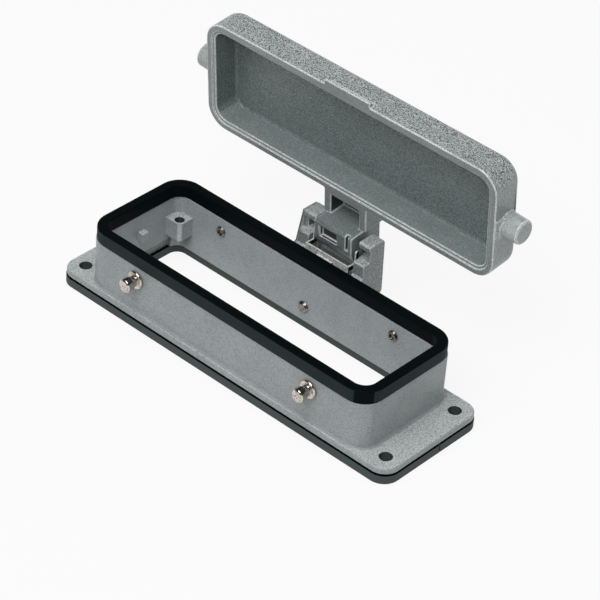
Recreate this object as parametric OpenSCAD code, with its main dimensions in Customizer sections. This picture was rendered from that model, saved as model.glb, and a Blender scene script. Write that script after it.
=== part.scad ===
// Bulkhead base housing for a heavy duty rectangular connector, with a hinged
// protective cover standing open. Millimetres. z = 0 is the panel face, the
// origin is the middle of the four flange holes, +x runs along the housing and
// +y points to the hinge side.

/* [Flange] */
// distance from a flange hole to the flange's end
hole_edge_x = 5.6; // [5.2:0.1:6]
// distance from a flange hole to the flange's long side
hole_edge_y = 6.3; // [6:0.1:6.6]
// clear diameter of a flange hole
hole_d = 4.4; // [4.2:0.1:4.6]
// how far the flange stands out beyond each end wall
flange_end = 10.7; // [10.3:0.1:11.1]
// how far the flange stands out beyond each long wall
flange_ledge = 1.45; // [1.35:0.05:1.6]
// corner radius of the flange
flange_r = 5.6; // [5:0.2:6]
// thickness of the cast flange
flange_t = 2.6; // [2.4:0.1:3.2]
// thickness of the gasket under the flange
seal_t = 3.0; // [2.6:0.1:3.2]
// gap between the pocket and the gasket's opening at the ends
seal_gap_x = 0.3; // [0.1:0.1:0.5]
// gap between the pocket and the gasket's opening at the sides
seal_gap_y = 0.45; // [0.25:0.05:0.65]

/* [Housing walls] */
// length over the end walls at the flange
wall_len = 119.8; // [119:0.2:120.6]
// width over the long walls
wall_wid = 41.7; // [41.5:0.1:41.9]
// outer corner radius of the walls
wall_r = 7.2; // [6.8:0.1:7.4]
// lean of the end walls towards the top, in degrees
wall_draft = 2.2; // [1.5:0.1:2.6]
// thickness of the end walls
wall_end_t = 3.5; // [3.3:0.1:3.7]
// thickness of the long walls
wall_side_t = 3.45; // [3.3:0.05:3.55]
// height of the top of the rim gasket above the panel
rim_z = 27.4; // [27:0.1:28]

/* [Rim gasket] */
// how far the rim gasket's ends stay inside the foot of the end walls
rim_draw = 0.2; // [0:0.05:0.4]
// how far the rim gasket stands out over the long walls
rim_proud = 0.35; // [0.3:0.05:0.5]
// corner radius of the rim gasket
rim_r = 8.0; // [7.6:0.1:8.4]
// height of the gasket's side band
rim_band = 4.8; // [4.4:0.1:5.2]
// width of the gasket's top face
rim_top = 3.6; // [3.5:0.1:3.8]

/* [Insert fixing] */
// distance from an insert screw to the end wall
insert_edge_x = 4.265; // [4.165:0.005:4.365]
// distance from an insert screw to the long wall
insert_edge_y = 3.9; // [3.8:0.05:4]
// core diameter of the M4 thread
insert_hole_d = 3.3; // [3.2:0.1:3.6]
// height of the seats the insert rests on
insert_seat_z = 16.4; // [15.6:0.1:17]

/* [Locking pegs] */
// distance between two pegs on the same side
peg_pitch = 74.2; // [72:0.2:78]
// height of the peg axis
peg_z = 17.9; // [17:0.1:18.2]
// diameter of the head a lever grips
peg_head_d = 4.7; // [4.6:0.1:5]
// diameter of the collar on the wall
peg_collar_d = 6.4; // [6:0.1:7]
// length of a peg outside the wall
peg_out = 5.8; // [5.4:0.1:6.4]
// diameter of the shank through the wall
peg_shank_d = 3.2; // [3:0.1:3.6]

/* [Cover] */
// how far the cover's ends stand out over the rim gasket
cover_over = 0.4; // [0.3:0.05:0.6]
// how far the cover's sides stay inside the rim gasket
cover_inside = 1.0; // [0.9:0.05:1.1]
// depth of the cover
cover_depth = 12.1; // [11.8:0.1:12.6]
// corner radius seen from above
cover_r = 7.6; // [7:0.1:8.2]
// rounding between the side walls and the top
cover_edge_r = 3.6; // [3:0.1:4]
// width of the flat land that presses on the rim gasket
cover_land = 2.1; // [1.9:0.1:2.3]
// width of the shallow step inside the land
cover_step = 1.2; // [1:0.1:1.3]
// thickness of the cover's top wall
cover_top_t = 2.2; // [2:0.1:2.4]
// gap left over the rim gasket when shut
shut_gap = 0.3; // [0.25:0.05:0.4]
// length of a cover peg
cover_peg_len = 6.8; // [6.2:0.1:7.4]
// diameter of a cover peg at its end
cover_peg_d = 8.2; // [7.8:0.1:8.4]
// angle the cover stands open at
open_angle = 85; // [80:1:88]

/* [Hinge] */
// distance of the hinge pin behind the rear wall
pin_out = 14.05; // [13.95:0.05:14.15]
// height of the hinge pin above the rim
pin_rise = 0.5; // [0.4:0.05:0.6]
// diameter of the hinge pin
pin_d = 3.0; // [2.9:0.1:3.1]
// width over the bracket's two cheeks, without the skin
bracket_wid = 28.0; // [27.8:0.1:28.4]
// gap between the cheeks above the spring
cheek_gap = 18.6; // [18.5:0.1:18.8]
// gap between the cheeks where the spring sits
spring_gap = 19.2; // [19.1:0.1:19.6]
// width of the cover's hinge leg
leg_wid = 17.8; // [17.4:0.1:17.9]
// width of the cam at the end of the leg
cam_wid = 15.8; // [15.4:0.1:16]
// distance from the hinge pin to each flat of the cam
cam_half = 5.8; // [5.7:0.1:5.9]
// width of the leaf spring
spring_wid = 18.4; // [18:0.1:18.6]
// thickness of the leaf spring
spring_t = 0.6; // [0.5:0.1:0.7]

/* [Hidden] */
$fn = 96;
flange_top = seal_t + flange_t;
wall_y = wall_wid / 2;
inner_len = wall_len - 2 * wall_end_t;
inner_wid = wall_wid - 2 * wall_side_t;
inner_y = inner_wid / 2;
flange_len = wall_len + 2 * flange_end;
flange_wid = wall_wid + 2 * flange_ledge;
hole_pitch_x = flange_len - 2 * hole_edge_x;
hole_pitch_y = flange_wid - 2 * hole_edge_y;
seal_open_len = inner_len + 2 * seal_gap_x;
seal_open_wid = inner_wid + 2 * seal_gap_y;
rim_len = wall_len - 2 * rim_draw;
rim_wid = wall_wid + 2 * rim_proud;
insert_pitch_x = inner_len - 2 * insert_edge_x;
insert_pitch_y = inner_wid - 2 * insert_edge_y;
cover_len = rim_len + 2 * cover_over;
cover_wid = rim_wid - 2 * cover_inside;
pin_y = wall_y + pin_out;
pin_z = rim_z + pin_rise;
band_z = rim_z - rim_band;
cap_t = 1.9;
tenon_z = rim_z - cap_t;
tenon_out = 0.55;
skirt_in = 1.0;
rim_edge = 0.5;
tenon_in = rim_top - skirt_in;
cut = 1;
flange_edge = 0.6;
relief_h = 0.8;
relief_in = 0.9;
seal_proud = 0.2;
seal_slit = 0.5;
seal_slit_y = 2.4;
wall_fillet = 1.0;
foot_in = 0.3;
seal_open_r = 3.6;
pocket_step_z = 7;
pocket_step = 1.4;
pocket_r = 0.2;
inner_r = 3.2;
seat_reach_x = 2.3;
seat_reach_y = 2.2;
seat_r = 1.5;
seat_h = 6.8;
lug_y = 2.8;
lug_x = 2.4;
lug_h = 3.4;
collar_t = 1.3;
neck_d = 3.8;
neck_len = 1.8;
head_chamfer = 0.5;
dimple_d = 1.2;
dimple_deep = 0.3;
peen_d = 3.9;
peen_h = 0.8;
peen_flare = 0.8;
dish_d = 2.2;
dish_deep = 0.7;
step_deep = 0.5;
floor_z = cover_depth - cover_top_t;
peg_root_d = 8.9;
peg_axis_z = 5.9;
thumb_wid = 18.8;
thumb_out = 1.7;
thumb_t = 1.4;
thumb_nick = 0.4;
thumb_rise = 2.0;
cam_heel = 2.0;
peg_tip_r = 0.5;
web_wid = 7.0;
web_rise = 1.3;
leg_wall = 2.9;
leg_back = 2.0;
leg_inset = 3.9;
leg_clear_r = 6.1;
cam_corner = 1.0;
cam_dent = 1.5;
cam_dent_x = [-5.4, 1.6];
cam_dent_y = [-4.2, -0.1];
cam_slit_x = [5.4, 6.3];
pocket_rim = 1.5;
cheek_top = pin_z + 4.3;
cheek_bottom = flange_top + 0.2;
foot_clear = 1.3;
cheek_back = pin_y + 3.3;
cheek_lean = 0.7;
cheek_nick = 0.5;
cheek_slope = 0.8;
cheek_corner = 1.0;
cheek_bend_z = flange_top + 6.4;
cheek_heel = 4.0;
toe_nick = 0.3;
overlap = 0.02;
plate_y = wall_y;
plate_t = 3.2;
lip_front = pin_y - 3.9;
lip_under = pin_z + 2.2;
mouth_back = pin_y - 3.5;
toe_front = pin_y - 6.3;
toe_top = pin_z - 1.9;
toe_low = pin_z - 6.7;
toe_root_z = pin_z - 10.9;
pin_fit = 0.05;
pin_skin = 1.6;
skin_t = 1.0;
skin_top = pin_z + 4.0;
skin_front = pin_y - 6.2;
rivet_z = flange_top + 2.6;
rivet_d = 2.6;
rivet_head_d = 4.4;
rivet_head_h = 0.9;
rivet_tail_h = 0.8;
rivet_flare = 1.4;
web_top = pin_z - 9.3;
web_low = flange_top + 3.2;
web_t = 3;
spring_y = plate_y + plate_t;
spring_top = pin_z - 3.8;
spring_reach = pin_y - 8.1;
ear_back = pin_y - 2.3;
ear_low = pin_z - 5.5;
hook_y = pin_y - 4.7;
hook_wid = 1.3;
hook_z = pin_z + 0.5;
tab_x = [-3.8, 2.7];
tab_z = pin_z - 6.0;
tab_out = 0.6;
ear_gap = 0.6;
hook_gap = 0.5;
spring_foot = 0.2;
spring_bend_z = pin_z - 11.5;
spring_turn_z = pin_z - 7.5;
spring_lap = 0.3;
housing_paint = [0.60, 0.62, 0.62];
rubber = [0.12, 0.14, 0.15];
steel = [0.72, 0.70, 0.66];

// ---------- shared shapes ----------
// flat rounded rectangle made of squares and circles only
module rounded(l, w, r) {
  square([l, w - 2 * r], center = true);
  square([l - 2 * r, w], center = true);
  for (x = [-1, 1])
    for (y = [-1, 1])
      translate([x * (l / 2 - r), y * (w / 2 - r)]) circle(r);
}

module slab(l, w, r, z0, z1) {
  translate([0, 0, z0]) linear_extrude(z1 - z0) rounded(l, w, r);
}

// sweeps a flat profile round a rounded rectangle; the profile's x is measured
// outwards from the corner centre and its y is the height
module sweep(l, w, r) {
  cx = l / 2 - r;
  cy = w / 2 - r;
  for (k = [0:3]) {
    sx = (k == 0 || k == 3) ? 1 : -1;
    sy = k < 2 ? 1 : -1;
    translate([sx * cx, sy * cy, 0]) rotate([0, 0, 90 * k])
      rotate_extrude(angle = 90) children();
  }
  for (k = [0, 180]) {
    rotate([0, 0, k]) translate([-cx, cy, 0]) rotate([90, 0, 90])
      linear_extrude(2 * cx) children();
    rotate([0, 0, k]) translate([cx, cy, 0]) rotate([90, 0, 0])
      linear_extrude(2 * cy) children();
  }
}

// the corner piece that rounds an outside edge: r is the rounding
module edge_cut(r) {
  difference() {
    square([r + cut, r + cut]);
    circle(r);
  }
}

// slab with its upper outside edge rounded
module soft_slab(l, w, r, z0, z1, e) {
  difference() {
    slab(l, w, r, z0, z1);
    translate([0, 0, z1 - e]) sweep(l, w, r)
      translate([r - e, 0]) edge_cut(e);
  }
}

// extrudes a y-z profile along x, centred
module along_x(wid) {
  translate([-wid / 2, 0, 0]) rotate([90, 0, 90]) linear_extrude(wid) children();
}

// round bar along y from y0 to y1
module bar_y(d, y0, y1) {
  translate([0, y0, 0]) rotate([-90, 0, 0]) cylinder(d = d, h = y1 - y0);
}

// ---------- base housing ----------
module wall_block() {
  intersection() {
    union() {
      slab(wall_len, wall_wid, wall_r, seal_t, band_z);
      slab(wall_len, wall_wid - 2 * tenon_out, wall_r - tenon_out, band_z - cut, tenon_z);
    }
    // the two leaning end faces
    intersection_for (k = [0, 180])
      rotate([0, 0, k]) translate([wall_len / 2, 0, flange_top]) rotate([0, -wall_draft, 0])
        translate([-wall_len * 2, -wall_wid, -rim_z])
          cube([wall_len * 2, wall_wid * 2, 2 * rim_z + cut]);
    slab(wall_len, wall_wid, wall_r, seal_t, rim_z);
  }
}

module tenon_trim() {
  // keeps the walls inside the gasket's band
  difference() {
    slab(wall_len + 2 * wall_r, wall_wid + 2 * wall_r, wall_r, band_z, rim_z);
    slab(rim_len - 2 * tenon_inset(), rim_wid - 2 * tenon_inset(), rim_r - tenon_inset(),
         band_z - cut, rim_z + cut);
  }
}

function tenon_inset() = (rim_wid - wall_wid) / 2 + tenon_out;

module base_housing() {
  color(housing_paint)
  difference() {
    union() {
      soft_slab(flange_len, flange_wid, flange_r, seal_t + relief_h, flange_top, flange_edge);
      slab(flange_len - 2 * relief_in, flange_wid - 2 * relief_in, flange_r - relief_in,
           seal_t, flange_top - flange_edge);
      difference() {
        union() {
          wall_block();
          wall_foot();
        }
        tenon_trim();
      }
      insert_seats();
      end_lugs();
    }
    difference() {
      slab(inner_len, inner_wid, inner_r, seal_t - cut, rim_z);
      insert_seats();
      end_lugs();
    }
    // room for the gasket's inner skirt
    slab(rim_len - 2 * tenon_in, rim_wid - 2 * tenon_in, rim_r - tenon_in, band_z, rim_z);
    // the end walls are thinner below the step
    slab(inner_len + 2 * pocket_step, inner_wid - 2 * inner_r, pocket_r, seal_t - cut,
         pocket_step_z);
    flange_holes();
    insert_holes();
    peg_holes();
    translate([0, 0, rivet_z]) bar_y(rivet_d, inner_y - cut, wall_y + cut);
  }
}

// concave foot where the walls meet the flange
module wall_foot() {
  sweep(wall_len, wall_wid, wall_r)
    translate([wall_r - foot_in, flange_top])
      difference() {
        square([wall_fillet + foot_in, wall_fillet]);
        translate([wall_fillet + foot_in, wall_fillet]) circle(wall_fillet);
      }
}

// the four seats in the corners, each with a rounded inner edge
module insert_seats() {
  seat_x = insert_pitch_x / 2 - seat_reach_x;
  seat_y = insert_pitch_y / 2 - seat_reach_y;
  translate([0, 0, insert_seat_z - seat_h]) linear_extrude(seat_h)
    for (x = [-1, 1])
      for (y = [-1, 1])
        mirror([x < 0 ? 1 : 0, 0]) mirror([0, y < 0 ? 1 : 0]) {
          translate([seat_x + seat_r, seat_y])
            square([inner_len / 2 + cut - seat_x - seat_r, inner_y + cut - seat_y]);
          translate([seat_x, seat_y + seat_r])
            square([inner_len / 2 + cut - seat_x, inner_y + cut - seat_y - seat_r]);
          translate([seat_x + seat_r, seat_y + seat_r]) circle(seat_r);
        }
}

module end_lugs() {
  for (s = [-1, 1])
    translate([s * (inner_len / 2 + (cut - lug_x) / 2), 0, insert_seat_z - lug_h / 2])
      cube([lug_x + cut, lug_y, lug_h], center = true);
}

module flange_holes() {
  for (x = [-1, 1])
    for (y = [-1, 1])
      translate([x * hole_pitch_x / 2, y * hole_pitch_y / 2, seal_t - cut])
        cylinder(d = hole_d, h = flange_t + 2 * cut);
}

module insert_holes() {
  for (x = [-1, 1])
    for (y = [-1, 1])
      translate([x * insert_pitch_x / 2, y * insert_pitch_y / 2, insert_seat_z - seat_h - cut])
        cylinder(d = insert_hole_d, h = seat_h + 2 * cut);
}

module peg_holes() {
  for (x = [-1, 1])
    for (s = [0, 180])
      rotate([0, 0, s]) translate([x * peg_pitch / 2, 0, peg_z])
        bar_y(peg_shank_d, inner_y - cut, wall_y + cut);
}

// ---------- gaskets ----------
module rim_gasket() {
  color(rubber)
  difference() {
    soft_slab(rim_len, rim_wid, rim_r, band_z, rim_z, rim_edge);
    slab(rim_len - 2 * rim_top, rim_wid - 2 * rim_top, rim_r - rim_top, band_z - cut, rim_z + cut);
    // channel over the top of the walls
    difference() {
      slab(rim_len - 2 * tenon_inset(), rim_wid - 2 * tenon_inset(), rim_r - tenon_inset(),
           band_z - cut, tenon_z);
      slab(rim_len - 2 * tenon_in, rim_wid - 2 * tenon_in, rim_r - tenon_in,
           band_z - 2 * cut, rim_z);
    }
  }
}

module flange_gasket() {
  color(rubber)
  difference() {
    slab(flange_len + 2 * seal_proud, flange_wid + 2 * seal_proud, flange_r + seal_proud,
         0, seal_t);
    slab(seal_open_len, seal_open_wid, seal_open_r, -cut, seal_t + cut);
    for (x = [-1, 1])
      for (y = [-1, 1])
        translate([x * hole_pitch_x / 2, y * hole_pitch_y / 2, -cut])
          cylinder(d = hole_d, h = seal_t + 2 * cut);
    // slit where the moulded strip's two ends meet
    translate([flange_len / 2 + seal_proud - seal_slit, seal_slit_y, seal_t / 3])
      cube([seal_slit + cut, seal_slit, seal_t]);
  }
}

// ---------- locking pegs ----------
// a peg pointing to +y, standing on the outside of the wall
module peg() {
  color(steel)
  difference() {
    union() {
      translate([0, wall_y, 0]) {
        collar();
        bar_y(neck_d, 0, collar_t + neck_len + cut);
        bar_y(peg_head_d, collar_t + neck_len, peg_out - head_chamfer);
        translate([0, peg_out - head_chamfer, 0]) rotate([-90, 0, 0])
          cylinder(d1 = peg_head_d, d2 = peg_head_d - 2 * head_chamfer, h = head_chamfer);
      }
      bar_y(peg_shank_d, inner_y - peen_h / 2, wall_y + collar_t);
      translate([0, inner_y - peen_h, 0]) rotate([-90, 0, 0])
        cylinder(d1 = peen_d - peen_flare, d2 = peen_d, h = peen_h);
    }
    // turning centre in the tip, and the dished end inside the wall
    bar_y(dimple_d, wall_y + peg_out - dimple_deep, wall_y + peg_out + cut);
    bar_y(dish_d, inner_y - peen_h - cut, inner_y - peen_h + dish_deep);
  }
}

// full-round collar that stops the peg on the wall
module collar() {
  r = collar_t / 2;
  rotate([-90, 0, 0]) rotate_extrude() {
    square([peg_collar_d / 2 - r, collar_t]);
    translate([peg_collar_d / 2 - r, r]) intersection() {
      circle(r);
      translate([0, -r]) square([r, 2 * r]);
    }
  }
}

module peg_at(x, turn) {
  rotate([0, 0, turn]) translate([x, 0, peg_z]) peg();
}

module peg_front_left() { peg_at(peg_pitch / 2, 180); }
module peg_front_right() { peg_at(-peg_pitch / 2, 180); }
module peg_rear_left() { peg_at(-peg_pitch / 2, 0); }
module peg_rear_right() { peg_at(peg_pitch / 2, 0); }

// ---------- hinge bracket ----------
module cheek_profile() {
  polygon([
    [plate_y + foot_clear, cheek_bottom], [plate_y, cheek_bottom + foot_clear],
    [plate_y, toe_root_z], [toe_front, toe_low], [toe_front, toe_top - toe_nick],
    [toe_front + toe_nick, toe_top], [mouth_back, toe_top], [mouth_back, lip_under],
    [lip_front, lip_under], [lip_front, cheek_top - cheek_nick],
    [lip_front + cheek_nick, cheek_top],
    [cheek_back - cheek_slope, cheek_top], [cheek_back, cheek_top - cheek_corner],
    [cheek_back + cheek_lean, cheek_bend_z], [cheek_back - cheek_heel, cheek_bottom]
  ]);
}

module skin_profile() {
  polygon([
    [plate_y, cheek_bottom + foot_clear], [plate_y, toe_root_z], [skin_front, toe_low],
    [lip_front + toe_nick, skin_top], [cheek_back - cheek_slope, skin_top],
    [cheek_back, cheek_top - cheek_corner], [cheek_back + cheek_lean, cheek_bend_z],
    [cheek_back - cheek_heel, cheek_bottom], [plate_y + foot_clear, cheek_bottom]
  ]);
}

// the way the pin slides in from the mouth to its seat, closed at the outer faces
module pin_way() {
  w = pin_d + 2 * pin_fit;
  along_x(bracket_wid - 2 * pin_skin)
    translate([pin_y, pin_z]) {
      circle(d = w);
      translate([mouth_back - cut - pin_y, -w / 2]) square([pin_y - mouth_back + cut, w]);
    }
}

module hinge_bracket() {
  color(housing_paint)
  difference() {
    union() {
      for (s = [-1, 1])
        translate([s * (bracket_wid + cheek_gap) / 4, 0, 0])
          along_x((bracket_wid - cheek_gap) / 2) cheek_profile();
      // outer skin of the left cheek, which closes its mouth
      translate([-bracket_wid / 2 - skin_t / 2, 0, 0]) along_x(skin_t + overlap)
        skin_profile();
      // plate on the wall
      along_x(bracket_wid)
        polygon([[plate_y + foot_clear, cheek_bottom], [plate_y, cheek_bottom + foot_clear],
                 [plate_y, toe_root_z], [spring_y, toe_root_z], [spring_y, cheek_bottom]]);
      // web joining the cheeks behind
      translate([-cheek_gap / 2 - cut, cheek_back - web_t, web_low])
        cube([cheek_gap + 2 * cut, web_t, web_top - web_low]);
    }
    pin_way();
    // wider room for the spring low down
    translate([-spring_gap / 2, spring_y, cheek_bottom - cut])
      cube([spring_gap, ear_back + ear_gap - spring_y, hook_z + hook_gap - cheek_bottom + cut]);
    translate([0, 0, rivet_z]) bar_y(rivet_d, plate_y - cut, plate_y + plate_t + cut);
  }
}

module bracket_rivet() {
  color(steel)
  translate([0, 0, rivet_z]) {
    translate([0, inner_y - rivet_head_h, 0]) rotate([-90, 0, 0])
      cylinder(d1 = rivet_head_d - rivet_flare, d2 = rivet_head_d, h = rivet_head_h);
    bar_y(rivet_d, inner_y - rivet_head_h / 2, spring_y + spring_t + rivet_tail_h / 2);
    translate([0, spring_y + spring_t, 0]) rotate([-90, 0, 0])
      cylinder(d1 = rivet_head_d, d2 = rivet_head_d - rivet_flare, h = rivet_tail_h);
  }
}

module hinge_pin() {
  color(steel)
  translate([0, pin_y, pin_z]) rotate([0, 90, 0])
    cylinder(d = pin_d, h = bracket_wid - 2 * (pin_skin + pin_fit), center = true);
}

// strip spring riveted behind the plate, leaning forward to the cam
module spring_profile() {
  t = spring_t;
  reach = spring_reach;
  polygon([
    [spring_y, cheek_bottom + spring_foot], [spring_y + t, cheek_bottom + spring_foot],
    [spring_y + t, spring_bend_z], [reach + t, spring_turn_z],
    [reach + t, spring_top], [reach, spring_top],
    [reach, spring_turn_z + spring_lap], [spring_y, spring_bend_z + spring_lap]
  ]);
}

// side ear of the spring: it runs back beside the cam and ends in a raised hook
module ear_profile() {
  translate([spring_reach, ear_low])
    square([ear_back - spring_reach, spring_top - ear_low]);
  translate([hook_y, ear_low]) square([hook_wid, hook_z - hook_wid / 2 - ear_low]);
  translate([hook_y + hook_wid / 2, hook_z - hook_wid / 2]) circle(d = hook_wid);
}

module leaf_spring() {
  color(steel)
  difference() {
    union() {
      along_x(spring_wid) spring_profile();
      for (s = [-1, 1])
        translate([s * (spring_wid - spring_t) / 2, 0, 0]) along_x(spring_t) ear_profile();
      // stop tab bent forward in the middle
      translate([tab_x[0], spring_reach - tab_out, tab_z])
        cube([tab_x[1] - tab_x[0], tab_out + spring_t / 2, spring_t]);
    }
    translate([0, 0, rivet_z]) bar_y(rivet_d, spring_y - cut, spring_y + spring_t + cut);
  }
}

// ---------- cover, drawn shut and then turned open about the pin ----------
module cover_shell() {
  difference() {
    union() {
      soft_slab(cover_len, cover_wid, cover_r, 0, cover_depth, cover_edge_r);
      cover_pegs();
      thumb_ledge();
      hinge_leg();
    }
    slab(cover_len - 2 * (cover_land + cover_step), cover_wid - 2 * (cover_land + cover_step),
         cover_r - cover_land - cover_step, -cut, floor_z);
    slab(cover_len - 2 * cover_land, cover_wid - 2 * cover_land, cover_r - cover_land,
         -cut, step_deep);
  }
}

// end pegs, each with a web that rises to it from the rim plane
module cover_pegs() {
  bar = cover_land + cover_peg_len - peg_tip_r;
  for (s = [0, 180])
    rotate([0, 0, s]) translate([cover_len / 2, 0, 0]) {
      translate([-cover_land, 0, peg_axis_z]) rotate([0, 90, 0]) {
        cylinder(d1 = peg_root_d, d2 = cover_peg_d, h = bar);
        translate([0, 0, bar])
          cylinder(d1 = cover_peg_d, d2 = cover_peg_d - 2 * peg_tip_r, h = peg_tip_r);
      }
      translate([0, web_wid / 2, 0]) rotate([90, 0, 0]) linear_extrude(web_wid)
        polygon([[-cover_land, 0], [0, 0], [web_rise, peg_axis_z - cover_peg_d / 4],
                 [web_rise, peg_axis_z], [-cover_land, peg_axis_z]]);
    }
}

module thumb_ledge() {
  translate([0, -cover_wid / 2, 0])
    along_x(thumb_wid)
      polygon([[cut, 0], [-thumb_out, 0], [-thumb_out, thumb_t - thumb_nick],
               [-thumb_out + thumb_nick, thumb_t], [cut, thumb_t + thumb_rise]]);
}

// the leg reaches back from the cover to the pin and ends in the cam
module hinge_leg() {
  leg_top = cover_depth - leg_inset;
  axis_z = pin_z - rim_z - shut_gap;
  leg_y = cover_wid / 2 - cover_land;
  pocket_y = cover_wid / 2 + pocket_rim;
  difference() {
    union() {
      along_x(leg_wid) translate([leg_y, 0]) square([pin_y - leg_clear_r - leg_y, leg_top]);
      along_x(cam_wid) {
        translate([leg_y, 0]) square([pin_y - leg_y, leg_top]);
        translate([pin_y, axis_z]) cam_profile(leg_top - axis_z);
      }
    }
    // pocket between the leg's side walls, open towards the rim plane
    translate([-leg_wid / 2 + leg_wall, pocket_y, -cut])
      cube([leg_wid - 2 * leg_wall, pin_y - cam_half - pocket_y, leg_top - leg_back + cut]);
    // hollow in the cam's face, and the slit beside its right end
    translate([cam_dent_x[0], pin_y + cam_dent_y[0], axis_z - cam_half - cut])
      cube([cam_dent_x[1] - cam_dent_x[0], cam_dent_y[1] - cam_dent_y[0], cam_dent + cut]);
    translate([cam_slit_x[0], pin_y - cam_half - cut, axis_z - cam_half - cut])
      cube([cam_slit_x[1] - cam_slit_x[0], cam_half + cut, cam_dent + cut]);
    translate([-leg_wid, pin_y, axis_z]) rotate([0, 90, 0])
      cylinder(d = pin_d + 2 * pin_fit, h = 2 * leg_wid);
  }
}

// flat towards the cover and on its face, round behind; up is the height of the leg's back
module cam_profile(up) {
  h = cam_half;
  c = cam_corner;
  circle(h);
  translate([-h, c - h]) square([h, up + h - c]);
  translate([c - h, -h]) square([h - c, h]);
  translate([c - h, c - h]) circle(c);
  square([h - cam_heel, up]);
}

module cover() {
  color(housing_paint)
  translate([0, pin_y, pin_z]) rotate([-open_angle, 0, 0]) translate([0, -pin_y, -pin_z])
    translate([0, 0, rim_z + shut_gap]) cover_shell();
}

base_housing();
rim_gasket();
flange_gasket();
peg_front_left();
peg_front_right();
peg_rear_left();
peg_rear_right();
hinge_bracket();
bracket_rivet();
hinge_pin();
leaf_spring();
cover();
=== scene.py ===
import math

import bmesh
import bpy
from mathutils import Matrix, Vector


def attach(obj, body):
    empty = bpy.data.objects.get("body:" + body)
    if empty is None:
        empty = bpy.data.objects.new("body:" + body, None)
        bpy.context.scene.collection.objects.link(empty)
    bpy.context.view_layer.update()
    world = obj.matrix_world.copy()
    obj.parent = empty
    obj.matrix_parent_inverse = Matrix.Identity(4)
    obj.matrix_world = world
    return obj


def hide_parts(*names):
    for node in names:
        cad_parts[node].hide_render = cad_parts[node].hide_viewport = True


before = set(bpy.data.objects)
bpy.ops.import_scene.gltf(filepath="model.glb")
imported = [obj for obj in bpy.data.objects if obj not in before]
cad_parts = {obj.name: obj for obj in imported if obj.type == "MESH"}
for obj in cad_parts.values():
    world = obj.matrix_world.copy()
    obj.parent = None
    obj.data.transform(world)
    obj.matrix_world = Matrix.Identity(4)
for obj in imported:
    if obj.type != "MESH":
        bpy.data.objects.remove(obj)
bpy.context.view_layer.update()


# ---------- studio: floor, lamps and camera ----------
# A table in a light tent, under an overhead and a front panel, which light the part together
# with the tent's even white. Camera, gloss and glass see a white table, and a backdrop that is
# white low down and dark overhead, which gives the steel its contrast.

def paint_value(hex_code):
    """The linear RGBA of an sRGB hex colour."""
    parts = [int(hex_code[i:i + 2], 16) / 255 for i in (0, 2, 4)]
    return [c / 12.92 if c <= 0.04045 else ((c + 0.055) / 1.055) ** 2.4 for c in parts] + [1]


def add(tree, kind, links=None, **settings):
    """Adds a node; settings name its properties or input sockets, links its linked sockets."""
    node = tree.nodes.new(kind)
    for name, value in settings.items():
        if hasattr(node, name) and name not in ("inputs", "color"):
            setattr(node, name, value)
        else:
            words = name.replace("_", " ").lower()
            next(s for s in node.inputs if s.name.lower() == words).default_value = value
    for name, source in (links or {}).items():
        tree.links.new(source, node.inputs[name])
    return node


def set_ramp(ramp, stops):
    """Sets a colour ramp's two stops, each a position and a hex colour."""
    for element, (position, colour) in zip(ramp.color_ramp.elements, stops):
        element.position = position
        element.color = paint_value(colour)


def tent_white(tree, lit, look, camera_share):
    """Mixes what camera, gloss and glass see over what lights the part."""
    path = add(tree, "ShaderNodeLightPath")
    gloss = add(tree, "ShaderNodeMath", {0: path.outputs["Is Camera Ray"],
                                         1: path.outputs["Is Glossy Ray"]}, operation="MAXIMUM")
    seen = add(tree, "ShaderNodeMath", {0: gloss.outputs[0],
                                        1: path.outputs["Is Transmission Ray"]},
               operation="MAXIMUM")
    share = add(tree, "ShaderNodeMath", {0: seen.outputs[0]}, operation="MULTIPLY")
    share.inputs[1].default_value = camera_share
    return add(tree, "ShaderNodeMixShader", {0: share.outputs[0], 1: lit, 2: look})


def softbox(name, place, aim, width, height, watts):
    """A rectangular lamp at place, pointed at aim; metres and watts."""
    lamp = bpy.data.lights.new(name, "AREA")
    lamp.shape = "RECTANGLE"
    lamp.size = width
    lamp.size_y = height
    lamp.energy = watts
    holder = bpy.data.objects.new(name, lamp)
    scene.collection.objects.link(holder)
    holder.location = place
    holder.rotation_euler = (Vector(aim) - Vector(place)).to_track_quat("-Z", "Y").to_euler()


scene = bpy.context.scene
scene.view_settings.view_transform = "Standard"

world = bpy.data.worlds.new("light_tent")
scene.world = world
world.use_nodes = True
sky = world.node_tree
sky.nodes.clear()
sight = add(sky, "ShaderNodeTexCoord").outputs["Generated"]
rise = add(sky, "ShaderNodeSeparateXYZ", {0: sight}).outputs["Z"]
walls = add(sky, "ShaderNodeValToRGB", {"Fac": rise})
set_ramp(walls, ((0.10, "ffffff"), (0.38, "3a3d40")))
backdrop = add(sky, "ShaderNodeBackground", {"Color": walls.outputs["Color"]}, strength=1.0)
tent = add(sky, "ShaderNodeBackground", color=paint_value("f4f6f8"), strength=0.42)
sky_mix = tent_white(sky, tent.outputs[0], backdrop.outputs[0], 1.0)
add(sky, "ShaderNodeOutputWorld", {"Surface": sky_mix.outputs[0]})

# White laminate. Most of what the camera sees of it is plain white, and the rest is lit, so
# that the part keeps its shadow.
table = bpy.data.materials.new("white_table")
table.use_nodes = True
top = table.node_tree
top.nodes.clear()
laminate = add(top, "ShaderNodeBsdfPrincipled", base_color=paint_value("d4d4d4"), roughness=0.8)
glow = add(top, "ShaderNodeEmission", color=(1, 1, 1, 1), strength=1.0)
table_mix = tent_white(top, laminate.outputs[0], glow.outputs[0], 0.88)
add(top, "ShaderNodeOutputMaterial", {"Surface": table_mix.outputs[0]})

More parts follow.
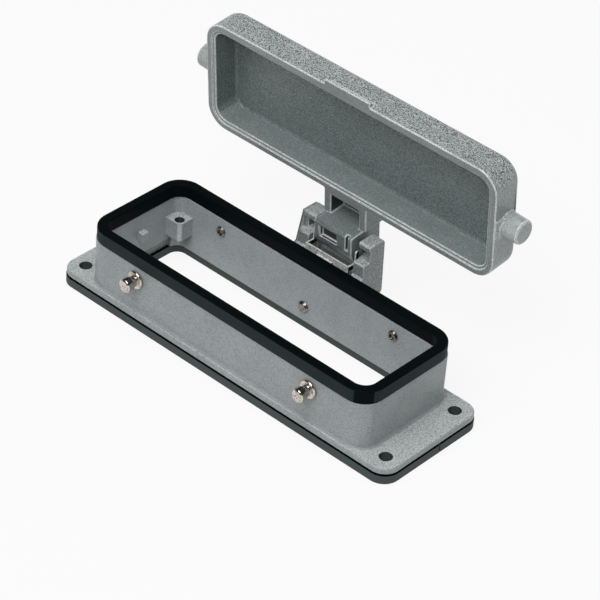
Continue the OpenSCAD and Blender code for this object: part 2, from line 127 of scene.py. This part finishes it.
table_half = 4
table_drop = 0.0001
sheet = bpy.data.meshes.new("table_top")
sheet.from_pydata([(x * table_half, y * table_half, 0)
                   for x, y in ((-1, -1), (1, -1), (1, 1), (-1, 1))], [], [(0, 1, 2, 3)])
floor = bpy.data.objects.new("table_top", sheet)
scene.collection.objects.link(floor)
floor.location.z = -table_drop
sheet.materials.append(table)

lamp_aim = (0, 0, 0.02)
softbox("front_panel", (0.16, -0.58, 0.88), lamp_aim, 0.6, 0.5, 5.9)
softbox("overhead_panel", (-0.05, -0.05, 1.00), lamp_aim, 0.8, 0.5, 3.5)

# The camera looks down at the front right corner from 0.88 m, rolled a little.
azimuth, elevation, roll = (math.radians(a) for a in (40.25, 37.0, 4.461))
distance, shift_right, shift_down = 0.87762, 0.01001, 0.00012
look_height = 0.020
back = Vector((math.sin(azimuth) * math.cos(elevation),
               -math.cos(azimuth) * math.cos(elevation), math.sin(elevation)))
level = Vector((math.cos(azimuth), math.sin(azimuth), 0))
upright = back.cross(level)
right = math.cos(roll) * level + math.sin(roll) * upright
up = -math.sin(roll) * level + math.cos(roll) * upright
eye = Vector((0, 0, look_height)) + right * shift_right - up * shift_down + back * distance
camera = bpy.data.objects.new("camera", bpy.data.cameras.new("camera"))
scene.collection.objects.link(camera)
camera.matrix_world = Matrix.Translation(eye) @ Matrix((right, up, back)).transposed().to_4x4()
camera.data.sensor_width = 36
camera.data.lens = 168.78
camera.data.clip_start = 0.05
scene.camera = camera


# ---------- base housing ----------
# One aluminium die casting: walls, flange, insert seats and end lugs, with a grey powder
# coat. Four screws through the flange hold it on a panel.

mm = 1000                            # millimetres in a metre
sharp_angle = math.radians(28)       # a face angle above this is an edge and gets rounded
flat_angle = math.radians(0.6)       # faces within this are joined into one
along_edge = 0.85                    # cosine from which a side runs along an edge, not away


def room_beside(edge):
    """The shortest edge (metres) that leads away from either end of a sharp edge."""
    along = (edge.verts[1].co - edge.verts[0].co).normalized()
    away = [side.calc_length() for face in edge.link_faces for side in face.edges
            if side is not edge and (side.verts[0] in edge.verts or side.verts[1] in edge.verts)
            and abs((side.verts[1].co - side.verts[0].co).normalized().dot(along)) < along_edge]
    return min(away, default=1.0)


def soften(node, body, radius, wide=None, wide_radius=0.0, fitted=False, sharp=None):
    """A piece with the node's shape and its edges rounded to radius (mm). Edges that pass wide
    get wide_radius, and edges that pass sharp stay sharp. On a fitted piece each edge's radius
    goes by the room beside it, and where edges crowd some faces still fold over. On the others
    the least room holds for every edge, which leaves crowded pieces almost sharp."""
    fit_share, least_share = 0.42, 0.3
    mesh = bpy.data.meshes.new(node + "_finished")
    work = bmesh.new()
    work.from_mesh(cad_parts[node].data)
    bmesh.ops.remove_doubles(work, verts=work.verts, dist=2e-6)
    bmesh.ops.dissolve_limit(work, angle_limit=flat_angle, verts=work.verts, edges=work.edges,
                             delimit=set())
    radii = {"round_wide": wide_radius / mm, "round": radius / mm}
    layers = {name: work.edges.layers.float.new(name) for name in radii}
    for edge in work.edges:
        if len(edge.link_faces) != 2 or edge.calc_face_angle(0) <= sharp_angle:
            continue
        if sharp is not None and all(sharp(v.co * mm) for v in edge.verts):
            continue
        is_wide = wide is not None and all(wide(v.co * mm) for v in edge.verts)
        name = "round_wide" if is_wide else "round"
        share = min(1.0, fit_share * room_beside(edge) / radii[name]) if fitted else 1.0
        if share > least_share:
            edge[layers[name]] = share
    for face in work.faces:
        face.smooth = True
        face.material_index = 0
    work.to_mesh(mesh)
    work.free()
    mesh.materials.clear()
    piece = bpy.data.objects.new(node + "_finished", mesh)
    scene.collection.objects.link(piece)
    for name, width in radii.items():
        if width > 0:
            bevel = piece.modifiers.new(name, "BEVEL")
            bevel.width = width
            bevel.segments = 3
            bevel.limit_method = "WEIGHT"
            bevel.edge_weight = name
            bevel.use_clamp_overlap = not fitted
            bevel.miter_outer = "MITER_ARC"
    weighted = piece.modifiers.new("flat_faces", "WEIGHTED_NORMAL")
    weighted.weight = 100
    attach(piece, body)
    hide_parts(node)
    return piece


def finish_faces(piece, material, chosen):
    """Gives material to the faces whose centre (mm) and normal pass the test chosen."""
    piece.data.materials.append(material)
    index = len(piece.data.materials) - 1
    for face in piece.data.polygons:
        if chosen(face.center * mm, face.normal):
            face.material_index = index


def finish_edges(piece, material):
    """Gives material to the rounded edges, a paler coat there as a painted highlight."""
    piece.data.materials.append(material)
    piece.modifiers["round"].material = len(piece.data.materials) - 1


def powder_coat(name, colour, pit, rough, grain_mm, depth_mm, pits):
    """Polyester powder coat: a satin skin with the orange peel that it cures to, in colour
    with darker pits. The grain is drawn coarser than the real 0.2 mm so that it shows."""
    cloud_mm = 9                     # slow change of shade over the casting
    coat = bpy.data.materials.new(name)
    coat.use_nodes = True
    tree = coat.node_tree
    tree.nodes.clear()
    place = add(tree, "ShaderNodeTexCoord").outputs["Object"]
    peel = add(tree, "ShaderNodeTexNoise", {"Vector": place}, scale=mm / grain_mm, detail=2.0,
               roughness=0.55)
    cloud = add(tree, "ShaderNodeTexNoise", {"Vector": place}, scale=mm / cloud_mm, detail=3.0)
    tint = add(tree, "ShaderNodeValToRGB", {"Fac": peel.outputs["Fac"]})
    set_ramp(tint, ((pits, pit), (pits + 0.16, colour)))
    shade = add(tree, "ShaderNodeMapRange", {"Value": cloud.outputs["Fac"]}, From_Min=0.3,
                From_Max=0.7, To_Min=0.92, To_Max=1.05)
    mottled = add(tree, "ShaderNodeVectorMath", {0: tint.outputs["Color"],
                                                 "Scale": shade.outputs["Result"]},
                  operation="SCALE")
    bump = add(tree, "ShaderNodeBump", {"Height": peel.outputs["Fac"]}, strength=1.0,
               distance=depth_mm / mm)
    shader = add(tree, "ShaderNodeBsdfPrincipled", {"Base Color": mottled.outputs[0],
                                                    "Normal": bump.outputs["Normal"]},
                 roughness=rough, ior=1.5)
    add(tree, "ShaderNodeOutputMaterial", {"Surface": shader.outputs[0]})
    return coat


# Places on the housing, in millimetres from its middle.
hole_x, hole_y, hole_reach = 65, 16, 2.4             # flange screw holes
insert_x, insert_y, insert_reach = 52.1, 13.5, 1.75  # threaded insert seats
seat_edge_x, seat_edge_y = (49, 51.7), (10.8, 13.2)  # the seats' bevelled corners


def near_hole(c, x, y, reach):
    return math.hypot(abs(c.x) - x, abs(c.y) - y) < reach


def on_seat_corner(c, n):
    return (seat_edge_x[0] < abs(c.x) < seat_edge_x[1] and
            seat_edge_y[0] < abs(c.y) < seat_edge_y[1] and c.z > 8 and 0.3 < abs(n.x) < 0.96)


def in_bore(c, n):
    return abs(n.z) < 0.3 and (near_hole(c, hole_x, hole_y, hole_reach)
                               or near_hole(c, insert_x, insert_y, insert_reach))


# One coat all over, with its tone set by region: smooth grey outside, a little lighter in the
# pocket as painted light, grainier on faces that look up and paler there as painted light,
# pale at the rounded edges as a painted highlight, and dark in the groove over the flange
# gasket and in the bores as painted shade.
housing = soften("base_housing", "housing", 0.4)
housing.data.materials.append(
    powder_coat("grey_powder_coat", "989d9e", "848a8c", 0.38, 0.5, 0.07, 0.38))
# Painted light: the pocket's faces are coloured a little lighter, where the walls shade them.
finish_faces(housing,
             powder_coat("painted_light_pocket_coat", "a4aaab", "90969a", 0.38, 0.5, 0.07, 0.38),
             lambda c, n: abs(c.x) < 58 and abs(c.y) < 17.6 and c.z > 6)
# Grainier coat on faces that look up, coloured paler there as painted light from overhead.
finish_faces(housing,
             powder_coat("grained_painted_light_coat", "babfbe", "868c8c", 0.32, 0.46, 0.12, 0.39),
             lambda c, n: n.z > 0.9 and c.z < 20)
# Painted highlight: a paler coat on the rounded edges.
painted_edge_highlight = powder_coat("painted_edge_highlight_coat", "c3c8c7", "a9afae", 0.30, 0.5, 0.03, 0.38)
finish_edges(housing, painted_edge_highlight)
# Painted shade: the groove over the flange gasket is coloured nearly black.
finish_faces(housing, powder_coat("painted_shade_relief_coat", "14181a", "0c0f10", 0.60, 0.5, 0.02, 0.38),
             lambda c, n: c.z < 3.85 and (abs(c.x) > 62 or abs(c.y) > 20.9))
# Painted highlight on the seats' rounded corners.
finish_faces(housing, painted_edge_highlight, on_seat_corner)
# Painted shade: the walls of the screw holes and insert seats are coloured dark.
finish_faces(housing, powder_coat("painted_shade_bore_coat", "444a4a", "303535", 0.50, 0.5, 0.02, 0.38),
             in_bore)


# ---------- rim gasket and flange gasket ----------
# Moulded nitrile rubber. The rim gasket is a channel pushed over the wall tops, the flange
# gasket a flat frame under the flange, held by the flange screws.

def rubber(name, colour, rough, gloss):
    """Moulded nitrile: matt and almost black, with a fine grain from the mould, drawn coarser
    than the real one, which is about 0.1 mm, so that it shows."""
    grain_mm, depth_mm = 0.6, 0.04
    skin = bpy.data.materials.new(name)
    skin.use_nodes = True
    tree = skin.node_tree
    tree.nodes.clear()
    place = add(tree, "ShaderNodeTexCoord").outputs["Object"]
    grain = add(tree, "ShaderNodeTexNoise", {"Vector": place}, scale=mm / grain_mm, detail=4.0)
    bump = add(tree, "ShaderNodeBump", {"Height": grain.outputs["Fac"]}, strength=1.0,
               distance=depth_mm / mm)
    shader = add(tree, "ShaderNodeBsdfPrincipled", {"Normal": bump.outputs["Normal"]},
                 base_color=paint_value(colour), roughness=rough, ior=1.5,
                 specular_ior_level=gloss)
    add(tree, "ShaderNodeOutputMaterial", {"Surface": shader.outputs[0]})
    return skin


# The rim is nearly black on top, and greyer on its outer sides as painted light; the flange
# gasket shows a greyer cut side below a top coloured black as painted shade.
rim = soften("rim_gasket", "housing", 0.8)
rim.data.materials.append(rubber("nitrile_rim", "03090c", 0.5, 0.04))
# Painted light: the rim's outer sides are coloured greyer than its top.
finish_faces(rim, rubber("nitrile_rim_lit_side", "1b2729", 0.6, 0.12),
             lambda c, n: abs(n.z) < 0.5 and (abs(c.x) > 59 or abs(c.y) > 20.8))
seal = soften("flange_gasket", "housing", 0.3)
seal.data.materials.append(rubber("nitrile_seal", "404947", 0.6, 0.25))
# Painted shade: the gasket's top, in the groove under the flange, is coloured black.
finish_faces(seal, rubber("nitrile_seal_shaded_top", "05080a", 0.6, 0.04), lambda c, n: n.z > 0.9)


# ---------- locking pegs ----------
# Four pegs turned from stainless steel bar, pushed through the wall and hammered over on the
# inside.

def steel(name, colour, rough, patch_mm, dull, bare=1.0):
    """Turned, rolled or plated steel: bright, with patches of finer and coarser polish. bare
    is the share of metal that shows."""
    metal = bpy.data.materials.new(name)
    metal.use_nodes = True
    tree = metal.node_tree
    tree.nodes.clear()
    place = add(tree, "ShaderNodeTexCoord").outputs["Object"]
    wear = add(tree, "ShaderNodeTexNoise", {"Vector": place}, scale=mm / patch_mm, detail=3.0)
    sheen = add(tree, "ShaderNodeMapRange", {"Value": wear.outputs["Fac"]}, From_Min=0.3,
                From_Max=0.7, To_Min=rough * 0.6, To_Max=rough * 1.5)
    tint = add(tree, "ShaderNodeValToRGB", {"Fac": wear.outputs["Fac"]})
    set_ramp(tint, ((0.36, dull), (0.52, colour)))
    shader = add(tree, "ShaderNodeBsdfPrincipled", {"Roughness": sheen.outputs["Result"],
                                                    "Base Color": tint.outputs["Color"]},
                 metallic=bare)
    add(tree, "ShaderNodeOutputMaterial", {"Surface": shader.outputs[0]})
    return metal


# Bright and slightly warm outside; the hammered ends inside the pocket are duller, and darker
# as painted shade.
turned = steel("turned_stainless", "cfc7bf", 0.15, 0.8, "a59d95")
hammered_and_shaded = steel("hammered_and_shaded_end", "8d8781", 0.28, 0.6, "4a4643")
inner_wall_y = 17.6                  # what lies nearer the middle is inside the pocket
for node in ("peg_front_left", "peg_front_right", "peg_rear_left", "peg_rear_right"):
    peg = soften(node, "housing", 0.14)
    peg.data.materials.append(turned)
    finish_faces(peg, hammered_and_shaded, lambda c, n: abs(c.y) < inner_wall_y)


# ---------- hinge bracket ----------
# A small aluminium die casting with two cheeks for the hinge pin, riveted on the rear wall.
# Its coat is grainier than the housing's, paler on top as painted light, and palest at the
# rounded edges as a painted highlight.

bracket = soften("hinge_bracket", "housing", 0.25, fitted=True,
                 sharp=lambda c: c.x < -13.9)
bracket.data.materials.append(
    powder_coat("bracket_powder_coat", "9ca2a0", "6d7474", 0.36, 0.42, 0.12, 0.42))
# Painted light: faces that look up are coloured paler.
finish_faces(bracket,
             powder_coat("bracket_painted_light_top_coat", "b9bfbd", "7b8282", 0.32, 0.38, 0.12, 0.42),
             lambda c, n: n.z > 0.7)
# Painted highlight: the rounded edges are coloured palest.
finish_edges(bracket,
             powder_coat("bracket_painted_highlight_edge_coat", "d3d8d6", "8f9695", 0.26, 0.38, 0.06, 0.42))


# ---------- bracket rivet and hinge pin ----------
# Drawn steel wire, zinc plated: grey-white and satin. The rivet is headed at both ends, and
# its end inside the pocket is hammered like the pegs' and darker as painted shade. The pin is
# plain.

zinc = steel("zinc_plate", "c4c4c0", 0.25, 0.8, "8f8f8a")
rivet = soften("bracket_rivet", "housing", 0.15)
rivet.data.materials.append(zinc)
finish_faces(rivet, hammered_and_shaded, lambda c, n: c.y < inner_wall_y)
pin = soften("hinge_pin", "housing", 0.15)
pin.data.materials.append(zinc)


# ---------- leaf spring ----------
# Blanked and bent from hardened strip, held by the bracket's rivet. It is nearly black as
# painted shade, and its upper edges and front bar are pale grey as a painted highlight.

spring = soften("leaf_spring", "housing", 0.12)
# Painted shade: the strip is coloured nearly black, as in the dark gap between the cheeks.
spring.data.materials.append(steel("painted_shade_spring_strip", "1e2021", 0.36, 0.9, "0b0c0d"))
# Painted highlight: the faces that look up and the front of the bar are coloured pale grey.
finish_faces(spring, steel("painted_highlight_spring_edge", "e6e8e4", 0.42, 0.7, "b0b3b0", 0.3),
             lambda c, n: n.z > 0.7 or (n.y < -0.7 and c.z > 20))


# ---------- protective cover ----------
# One aluminium die casting with its end pegs, thumb ledge and hinge leg, which turns on the
# pin. The outside is pebbled; the inside is smoother, and darker, partly as a thinner coat and
# partly as painted shade.

pin_y, pin_z = 34.9, 27.9            # the hinge pin's axis, mm
swing = math.radians(85)             # from standing open to shut
pin_over_rim = 0.2                   # the axis over the rim of the shut cover, mm


def when_shut(c):
    """A point (mm) of the open cover in the shut cover's own place: x, across, height."""
    y, z = c.y - pin_y, c.z - pin_z
    return (c.x, pin_y + y * math.cos(swing) - z * math.sin(swing),
            pin_over_rim + y * math.sin(swing) + z * math.cos(swing))


def is_inside(c):
    """Whether a point lies on the walls or floor of the cover's hollow."""
    x, across, height = when_shut(c)
    return abs(x) < 57.3 and abs(across) < 17.4 and height < 10.3


def is_inner_floor_edge(c):
    return is_inside(c) and when_shut(c)[2] > 9


def is_leg(c):
    return when_shut(c)[1] > 20.3


def in_leg_hollow(c):
    """The pocket between the leg's walls, and the dent and slit in the cam's face."""
    x, across, height = when_shut(c)
    pocket = abs(x) < 6.05 and 21 < across < 29.05 and height < 6.3
    dent = abs(x) < 6.4 and 29.3 < across and -5.2 < height < -3.9
    return pocket or dent


# One coat again, by region: pebbled with dark pits on the outside, smoother on the flat ends
# and the pegs, fine inside and darker there, partly a thinner coat and partly painted shade,
# with painted light on the inner faces that look up, flat on the rim that meets the gasket,
# painted shade on the leg and darker painted shade in its hollows, and painted highlights on
# the rounded edges. Later calls win over earlier ones.
cover = soften("cover", "lid", 0.4, is_inner_floor_edge, 1.1, fitted=True)
cover.data.materials.append(
    powder_coat("pebbled_powder_coat", "abb1af", "4c5353", 0.34, 0.40, 0.16, 0.40))
finish_faces(cover, powder_coat("end_powder_coat", "9da3a2", "7b8282", 0.32, 0.5, 0.06, 0.38),
             lambda c, n: abs(n.x) > 0.9 and 59.6 < abs(c.x) < 60.6)
finish_faces(cover, powder_coat("peg_powder_coat", "a4a9a8", "8a9090", 0.26, 0.5, 0.04, 0.36),
             lambda c, n: abs(c.x) > 60.6)
# Darker inside: partly a thinner coat, partly painted shade of the hollow.
finish_faces(cover, powder_coat("thin_and_shaded_inner_coat", "7a8583", "626c6c", 0.20, 0.55, 0.24, 0.42),
             lambda c, n: is_inside(c))
# Painted light: the inner faces that look up are coloured lighter.
finish_faces(cover, powder_coat("painted_light_inner_coat", "8b9493", "757e7e", 0.24, 0.50, 0.18, 0.42),
             lambda c, n: is_inside(c) and n.z > 0.7)
finish_faces(cover, powder_coat("land_coat", "858c8b", "737a79", 0.32, 0.5, 0.04, 0.38),
             lambda c, n: n.y < -0.9 and when_shut(c)[2] < 0.7)
# Painted shade: the hinge leg is coloured darker, as the cover shades it.
finish_faces(cover, powder_coat("painted_shade_leg_coat", "7f8787", "616969", 0.34, 0.38, 0.10, 0.40),
             lambda c, n: is_leg(c) and n.y < 0.7)
# Painted shade: the leg's pocket and the dent and slit in the cam are coloured dark.
finish_faces(cover, powder_coat("painted_shade_hollow_coat", "3d4444", "2c3131", 0.40, 0.38, 0.08, 0.40),
             lambda c, n: in_leg_hollow(c))
# Painted highlight: the rounded edges are coloured pale.
finish_edges(cover, powder_coat("cover_painted_highlight_edge_coat", "cfd4d2", "a0a6a5", 0.22, 0.4, 0.08, 0.40))
